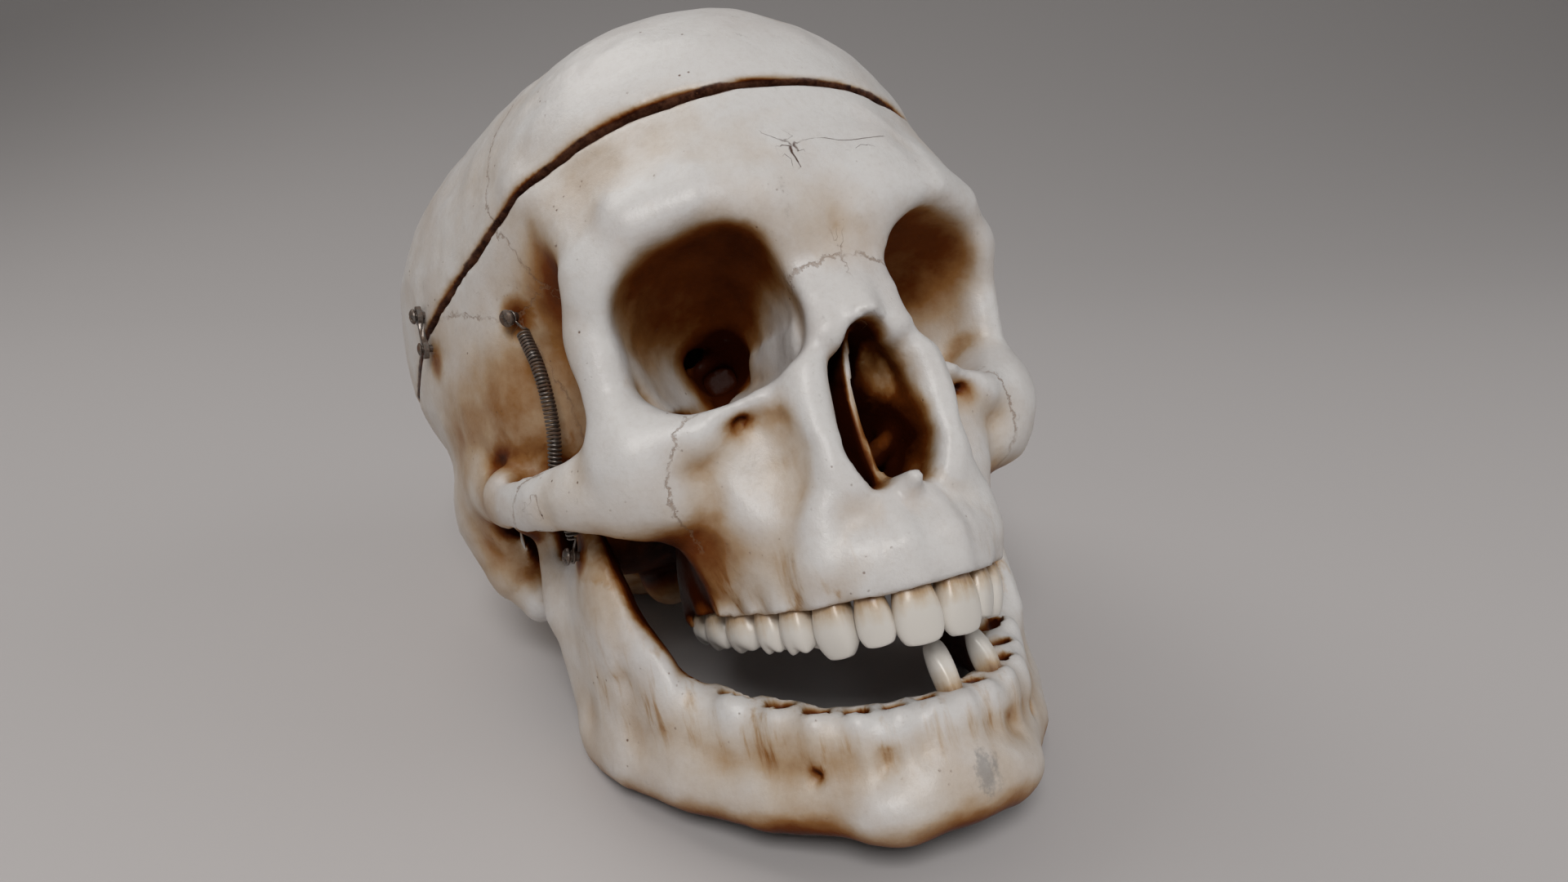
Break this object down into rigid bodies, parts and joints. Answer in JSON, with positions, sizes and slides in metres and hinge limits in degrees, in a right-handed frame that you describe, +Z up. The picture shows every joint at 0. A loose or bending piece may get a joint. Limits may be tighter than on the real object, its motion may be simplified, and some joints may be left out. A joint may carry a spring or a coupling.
{
  "type": "anatomical skull model",
  "caption": "Life-size human skull for teaching, with a lift-off skull cap held by side hooks, a sprung hinged lower jaw and separate teeth set in sockets.",
  "frame": {"origin": "bottom centre of the bounding box, on the surface that the skull rests on", "axes": "+Z up; the face looks towards -Y and is tipped back as the skull rests on the angles of its jaw and the back of its head; +X is the skull's left"},
  "size_m": [0.1398, 0.223, 0.1604],
  "materials": {
    "bone": "ivory bone, matt on the rounded outer surfaces and stained brown in the hollows",
    "tooth": "cream enamel with a soft shine and browned necks",
    "steel": "dark, tarnished steel with light rust"
  },
  "bodies": {
    "cranium": {"cranium": "bone", "upper_right_central_incisor": "tooth", "upper_right_lateral_incisor": "tooth", "upper_right_canine": "tooth", "upper_right_first_premolar": "tooth", "upper_right_second_premolar": "tooth", "upper_right_first_molar": "tooth", "upper_right_second_molar": "tooth", "upper_right_third_molar": "tooth", "upper_left_central_incisor": "tooth", "upper_left_lateral_incisor": "tooth", "upper_left_canine": "tooth", "upper_left_first_premolar": "tooth", "upper_left_second_premolar": "tooth", "upper_left_first_molar": "tooth", "upper_left_second_molar": "tooth", "upper_left_third_molar": "tooth", "front_dowel": "steel", "rear_dowel": "steel", "catch_pin_right": "steel", "catch_pin_left": "steel", "temple_screw_right": "steel", "temple_screw_left": "steel", "jaw_spring_right": "steel", "jaw_spring_left": "steel"},
    "skull_cap": {"skull_cap": "bone", "hook_screw_right": "steel", "hook_screw_left": "steel"},
    "jaw": {"lower_jaw": "bone", "lower_left_central_incisor": "tooth", "lower_left_canine": "tooth", "jaw_screw_right": "steel", "jaw_screw_left": "steel"},
    "hook_right": {"cap_hook_right": "steel"},
    "hook_left": {"cap_hook_left": "steel"}
  },
  "joints": [
    {"name": "jaw_opening", "type": "hinge", "parent": "cranium", "child": "jaw", "pos_m": [0, -0.00979, 0.04844], "axis": [1, 0, 0], "range_deg": [0, 20], "stiffness_Nm_per_rad": 0.35, "springref_deg": -28.65, "deforming": ["jaw_spring_right", "jaw_spring_left"]},
    {"name": "cap_lift", "type": "slide", "parent": "cranium", "child": "skull_cap", "axis": [0, 0.6517, 0.7584], "range_m": [0, 0.09]},
    {"name": "hook_right_swing", "type": "hinge", "parent": "skull_cap", "child": "hook_right", "pos_m": [-0.0678, 0.0258, 0.09238], "axis": [-1, 0, 0], "range_deg": [0, 100]},
    {"name": "hook_left_swing", "type": "hinge", "parent": "skull_cap", "child": "hook_left", "pos_m": [0.0678, 0.0258, 0.09238], "axis": [-1, 0, 0], "range_deg": [0, 100]}
  ]
}
